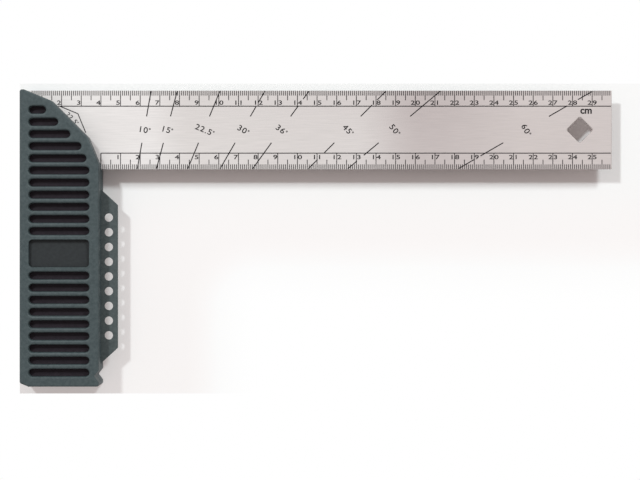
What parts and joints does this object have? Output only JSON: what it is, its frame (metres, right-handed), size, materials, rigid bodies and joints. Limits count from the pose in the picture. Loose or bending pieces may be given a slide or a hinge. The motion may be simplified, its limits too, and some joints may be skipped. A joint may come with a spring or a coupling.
{
  "type": "carpenter square",
  "caption": "Try and mitre square: a long flat steel blade across a thick ribbed stock with a mitred top, and a flat ledge that slides out of the stock's inner face.",
  "frame": {"origin": "on the surface that the stock's back face lies on, under the middle of the bounding box", "axes": "+X along the blade to its free end, +Y across the blade to its outer edge, +Z out of the printed face"},
  "size_m": [0.3, 0.15, 0.018],
  "materials": {
    "stainless_steel": "fine brushing along the blade",
    "cover_plastic": "fine moulded texture",
    "ledge_plastic": "fine moulded texture",
    "core_plastic": "plain matt",
    "spring_steel": "plain",
    "screw_steel": "zinc plated",
    "scale_ink": "matt dark ink in the etched scales"
  },
  "bodies": {
    "square": {"blade": "stainless_steel", "core": "core_plastic", "front_cover": "cover_plastic", "back_cover": "cover_plastic", "ledge_pin_upper": "spring_steel", "ledge_pin_lower": "spring_steel", "ledge_spring_upper": "spring_steel", "ledge_spring_lower": "spring_steel", "blade_screw_outer": "screw_steel", "blade_screw_inner": "screw_steel", "foot_screw": "screw_steel", "middle_screw_outer": "screw_steel", "middle_screw_inner": "screw_steel"},
    "ledge": {"ledge": "ledge_plastic"}
  },
  "joints": [
    {"name": "ledge_slide", "type": "slide", "parent": "square", "child": "ledge", "axis": [-1, 0, 0], "range_m": [0, 0.0086]}
  ]
}
